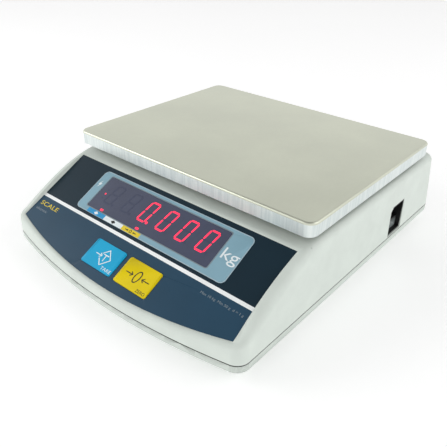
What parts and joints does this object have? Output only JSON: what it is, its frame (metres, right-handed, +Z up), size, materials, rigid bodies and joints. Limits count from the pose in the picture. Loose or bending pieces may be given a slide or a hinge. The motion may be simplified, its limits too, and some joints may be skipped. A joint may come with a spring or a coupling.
{
  "type": "counting scale",
  "caption": "Low tabletop weighing scale: stainless pan on a load cell over a plastic housing with a sloping display panel and two keys.",
  "frame": {"origin": "centre of the bounding box at the feet's underside, on the surface the scale stands on", "axes": "+X to the right as the operator faces the panel, +Y to the back, +Z up"},
  "size_m": [0.285, 0.347, 0.096],
  "materials": {
    "housing_plastic": "fine satin texture",
    "base_plastic": "fine satin texture",
    "overlay_dark": "satin printed film",
    "overlay_blue": "satin printed film",
    "strip_white": "satin printed film",
    "frame_blue_grey": "satin printed film",
    "smoked_window": "smoked clear acrylic",
    "digit_black": "matte epoxy face",
    "circuit_board": "green solder mask",
    "switch_black": "moulded",
    "tare_blue": "satin film",
    "zero_yellow": "satin film",
    "pan_steel": "brushed",
    "cast_aluminium": "as cast",
    "machined_aluminium": "machined",
    "screw_steel": "zinc plated",
    "black_rubber": "matte",
    "battery_case": "moulded",
    "terminal_brass": "tinned",
    "core_iron": "varnished laminations",
    "coil_tape": "tape",
    "power_black": "moulded",
    "rocker_grey": "moulded",
    "lead_grey": "insulation"
  },
  "bodies": {
    "housing": {"lower_housing": "base_plastic", "upper_housing": "housing_plastic", "display_overlay": "overlay_dark", "divider_strip": "strip_white", "keypad_overlay": "overlay_blue", "display_frame": "frame_blue_grey", "display_window": "smoked_window", "led_digit_1": "digit_black", "led_digit_2": "digit_black", "led_digit_3": "digit_black", "led_digit_4": "digit_black", "led_digit_5": "digit_black", "led_digit_6": "digit_black", "display_board": "circuit_board", "key_switches": "switch_black", "key_board": "circuit_board", "load_cell": "machined_aluminium", "load_cell_base_spacer": "machined_aluminium", "load_cell_base_screws": "screw_steel", "overload_stops": "screw_steel", "foot_lock_nuts": "screw_steel", "housing_screws": "screw_steel", "battery": "battery_case", "battery_terminals": "terminal_brass", "battery_strap": "screw_steel", "battery_cover": "base_plastic", "battery_cover_screws": "screw_steel", "transformer_core": "core_iron", "transformer_coil": "coil_tape", "power_bezel": "power_black", "power_inlet": "power_black", "inlet_pins": "terminal_brass", "rocker_frame": "power_black", "main_board": "circuit_board", "board_screws": "screw_steel", "board_chips": "switch_black", "board_connectors": "strip_white", "load_cell_lead": "lead_grey", "transformer_lead": "lead_grey", "battery_lead": "lead_grey"},
    "platform": {"load_cell_top_spacer": "machined_aluminium", "pan_carrier": "cast_aluminium", "carrier_screws": "screw_steel", "carrier_pads": "black_rubber"},
    "pan": {"weighing_pan": "pan_steel"},
    "tare_key": {"tare_key": "tare_blue"},
    "zero_key": {"zero_key": "zero_yellow"},
    "rocker": {"rocker": "rocker_grey"},
    "foot_front_left": {"foot_pad_front_left": "black_rubber", "foot_stud_front_left": "screw_steel"},
    "foot_front_right": {"foot_pad_front_right": "black_rubber", "foot_stud_front_right": "screw_steel"},
    "foot_back_left": {"foot_pad_back_left": "black_rubber", "foot_stud_back_left": "screw_steel"},
    "foot_back_right": {"foot_pad_back_right": "black_rubber", "foot_stud_back_right": "screw_steel"}
  },
  "joints": [
    {"name": "platform_sink", "type": "slide", "parent": "housing", "child": "platform", "axis": [0, 0, -1], "range_m": [0, 0.0007], "stiffness_N_per_m": 200000, "deforming": ["load_cell"]},
    {"name": "pan_lift", "type": "slide", "parent": "platform", "child": "pan", "axis": [0, 0, 1], "range_m": [0, 0.03]},
    {"name": "tare_key_press", "type": "slide", "parent": "housing", "child": "tare_key", "axis": [0, 0.4582, -0.8889], "range_m": [0, 0.0005], "stiffness_N_per_m": 3000},
    {"name": "zero_key_press", "type": "slide", "parent": "housing", "child": "zero_key", "axis": [0, 0.4582, -0.8889], "range_m": [0, 0.0005], "stiffness_N_per_m": 3000},
    {"name": "rocker_switch", "type": "hinge", "parent": "housing", "child": "rocker", "pos_m": [0.1345, 0.083, 0.024], "axis": [0, 0, 1], "range_deg": [-16, 0]},
    {"name": "foot_front_left_level", "type": "slide", "parent": "housing", "child": "foot_front_left", "axis": [0, 0, -1], "range_m": [0, 0.005]},
    {"name": "foot_front_right_level", "type": "slide", "parent": "housing", "child": "foot_front_right", "axis": [0, 0, -1], "range_m": [0, 0.005]},
    {"name": "foot_back_left_level", "type": "slide", "parent": "housing", "child": "foot_back_left", "axis": [0, 0, -1], "range_m": [0, 0.005]},
    {"name": "foot_back_right_level", "type": "slide", "parent": "housing", "child": "foot_back_right", "axis": [0, 0, -1], "range_m": [0, 0.005]}
  ]
}
